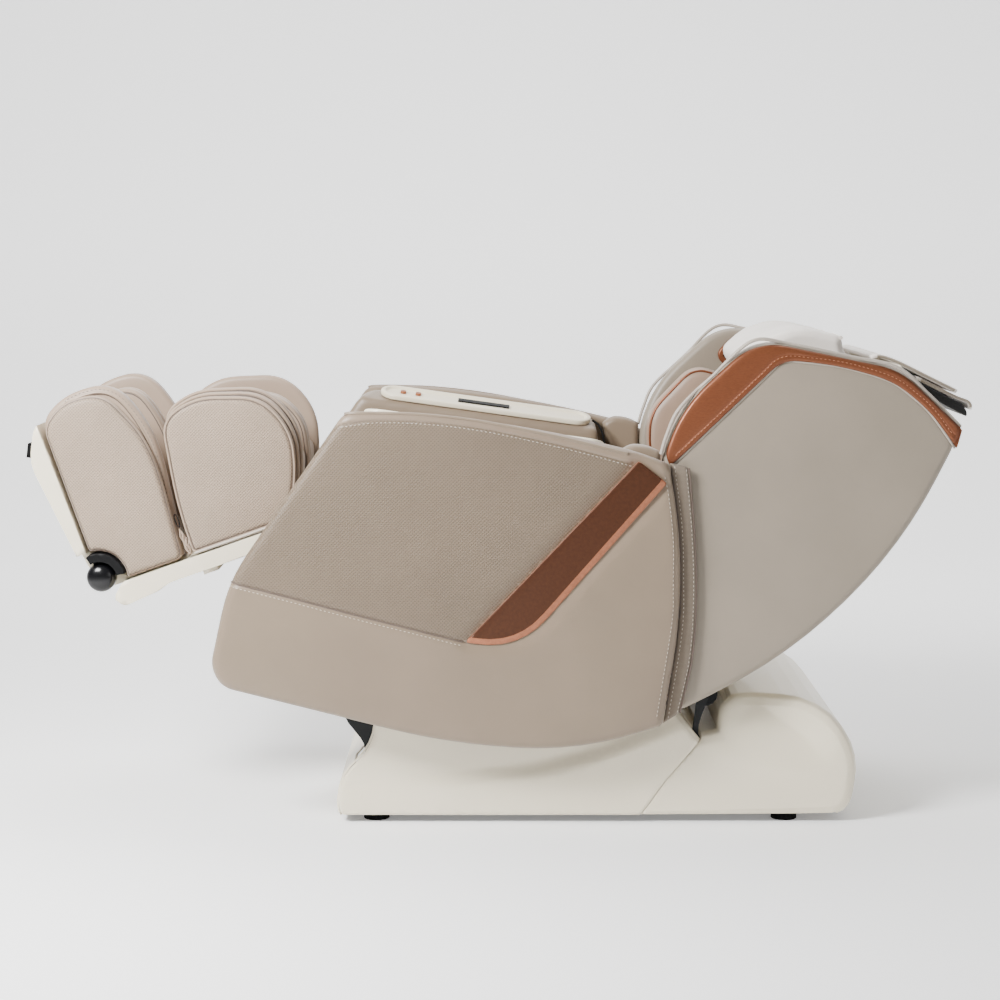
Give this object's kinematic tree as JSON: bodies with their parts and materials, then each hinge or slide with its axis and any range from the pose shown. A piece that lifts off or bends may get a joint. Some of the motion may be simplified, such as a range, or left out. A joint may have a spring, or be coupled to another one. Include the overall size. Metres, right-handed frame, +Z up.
{
  "type": "massage chair",
  "caption": "Reclining massage chair in its zero-gravity pose: padded arms with trays, winged backrest, swinging legrest with leg channels, on a low covered base.",
  "frame": {"origin": "on the floor, under the middle of the chair's overall box", "axes": "+X towards the head, +Y towards the sitter's right, +Z up"},
  "size_m": [1.8022, 0.736, 0.9402],
  "materials": {
    "padded_leather": "smooth and perforated greige leather, satin",
    "pale_leather": "smooth pale greige leather, satin",
    "gusset_knit": "finely perforated stretch fabric, matt",
    "copper": "brushed copper paint",
    "cream_plastic": "cream, semi-gloss",
    "steel": "black powder coat",
    "black_plastic": "black, fine texture",
    "rubber": "black, matt"
  },
  "bodies": {
    "base": {"base_frame": "steel", "base_cover_front": "cream_plastic", "base_cover_rear": "cream_plastic", "foot_front_left": "rubber", "foot_rear_left": "rubber", "foot_front_right": "rubber", "foot_rear_right": "rubber", "tilt_gearmotor": "black_plastic", "control_box": "steel", "power_inlet": "black_plastic"},
    "front_roller": {"front_roller_shaft": "steel"},
    "rear_roller": {"rear_roller_shaft": "steel"},
    "rocker": {"power_switch": "black_plastic"},
    "carriage": {"seat_frame": "steel", "seat_cushion": "padded_leather", "knee_gearmotor": "black_plastic", "hip_gearmotor": "black_plastic", "arm_panel_left": "padded_leather", "arm_trim_left": "copper", "gusset_left": "gusset_knit", "armrest_pad_left": "padded_leather", "armrest_tray_left": "cream_plastic", "arm_panel_right": "padded_leather", "arm_trim_right": "copper", "gusset_right": "gusset_knit", "armrest_pad_right": "padded_leather", "armrest_tray_right": "cream_plastic", "keypad_display": "black_plastic", "remote_cord": "black_plastic"},
    "power_key": {"key_power": "copper"},
    "programme_key": {"key_programme": "copper"},
    "backrest": {"back_frame": "steel", "back_shell": "cream_plastic", "back_cushion": "padded_leather", "head_pillow": "pale_leather", "back_flap": "pale_leather", "wing_left": "pale_leather", "wing_band_left": "copper", "shoulder_pad_left": "padded_leather", "speaker_left": "copper", "wing_right": "pale_leather", "wing_band_right": "copper", "shoulder_pad_right": "padded_leather", "speaker_right": "copper"},
    "massage_unit": {"massage_carriage": "steel"},
    "massage_rocker": {"massage_arms": "steel"},
    "roller_upper_left": {"massage_roller_upper_left": "cream_plastic"},
    "roller_lower_left": {"massage_roller_lower_left": "cream_plastic"},
    "roller_upper_right": {"massage_roller_upper_right": "cream_plastic"},
    "roller_lower_right": {"massage_roller_lower_right": "cream_plastic"},
    "legrest": {"leg_frame": "cream_plastic", "calf_pads": "padded_leather"},
    "footrest": {"foot_pads": "padded_leather", "foot_shell": "cream_plastic", "foot_bumper": "rubber", "wheel_bracket_left": "black_plastic", "wheel_bracket_right": "black_plastic"},
    "foot_massage_roller": {"foot_roller": "black_plastic"},
    "transport_wheel_left": {"wheel_left": "rubber"},
    "transport_wheel_right": {"wheel_right": "rubber"}
  },
  "joints": [
    {"name": "zero_gravity_tilt", "type": "hinge", "parent": "base", "child": "carriage", "pos_m": [0.03914, 0, 0.85], "axis": [0, -1, 0], "range_deg": [0, 20]},
    {"name": "front_roller_spin", "type": "hinge", "parent": "base", "child": "front_roller", "pos_m": [-0.28284, 0, 0.23149], "axis": [0, -1, 0], "range_deg": [-540, 3]},
    {"name": "rear_roller_spin", "type": "hinge", "parent": "base", "child": "rear_roller", "pos_m": [0.38779, 0, 0.24612], "axis": [0, -1, 0], "range_deg": [-540, 3]},
    {"name": "power_switch_rock", "type": "hinge", "parent": "base", "child": "rocker", "pos_m": [0.68312, 0.024, 0.11242], "axis": [0, -1, 0], "range_deg": [-6, 6]},
    {"name": "backrest_recline", "type": "hinge", "parent": "carriage", "child": "backrest", "pos_m": [0.26414, 0, 0.36], "axis": [0, -1, 0], "range_deg": [-10, 14]},
    {"name": "legrest_swing", "type": "hinge", "parent": "carriage", "child": "legrest", "pos_m": [-0.36586, 0, 0.593], "axis": [0, -1, 0], "range_deg": [-18, 26]},
    {"name": "footrest_extension", "type": "slide", "parent": "legrest", "child": "footrest", "axis": [0.9426, 0, 0.3338], "range_m": [-0.14, 0]},
    {"name": "foot_roller_spin", "type": "hinge", "parent": "footrest", "child": "foot_massage_roller", "pos_m": [-0.76369, 0, 0.59003], "axis": [0, -1, 0], "continuous": true},
    {"name": "wheel_left_spin", "type": "hinge", "parent": "footrest", "child": "transport_wheel_left", "pos_m": [-0.76672, -0.206, 0.46378], "axis": [0, -1, 0], "continuous": true},
    {"name": "wheel_right_spin", "type": "hinge", "parent": "footrest", "child": "transport_wheel_right", "pos_m": [-0.76672, 0.206, 0.46378], "axis": [0, -1, 0], "continuous": true},
    {"name": "massage_travel", "type": "slide", "parent": "backrest", "child": "massage_unit", "axis": [0.7193, 0, 0.6947], "range_m": [-0.12, 0.24]},
    {"name": "massage_rock", "type": "hinge", "parent": "massage_unit", "child": "massage_rocker", "pos_m": [0.5369, 0, 0.50941], "axis": [0, -1, 0], "range_deg": [-7, 7]},
    {"name": "roller_upper_left_spin", "type": "hinge", "parent": "massage_rocker", "child": "roller_upper_left", "pos_m": [0.56756, -0.036, 0.56404], "axis": [0, -1, 0], "continuous": true},
    {"name": "roller_lower_left_spin", "type": "hinge", "parent": "massage_rocker", "child": "roller_lower_left", "pos_m": [0.48124, -0.036, 0.48068], "axis": [0, -1, 0], "continuous": true},
    {"name": "roller_upper_right_spin", "type": "hinge", "parent": "massage_rocker", "child": "roller_upper_right", "pos_m": [0.56756, 0.036, 0.56404], "axis": [0, -1, 0], "continuous": true},
    {"name": "roller_lower_right_spin", "type": "hinge", "parent": "massage_rocker", "child": "roller_lower_right", "pos_m": [0.48124, 0.036, 0.48068], "axis": [0, -1, 0], "continuous": true},
    {"name": "power_key_press", "type": "slide", "parent": "carriage", "child": "power_key", "axis": [-0.1339, 0.225, -0.9651], "range_m": [0, 0.0015], "stiffness_N_per_m": 300},
    {"name": "programme_key_press", "type": "slide", "parent": "carriage", "child": "programme_key", "axis": [-0.1339, 0.225, -0.9651], "range_m": [0, 0.0015], "stiffness_N_per_m": 300}
  ],
  "couplings": [
    {"joint": "front_roller_spin", "follows": "zero_gravity_tilt", "ratio": -26.88},
    {"joint": "rear_roller_spin", "follows": "zero_gravity_tilt", "ratio": -26.88}
  ]
}
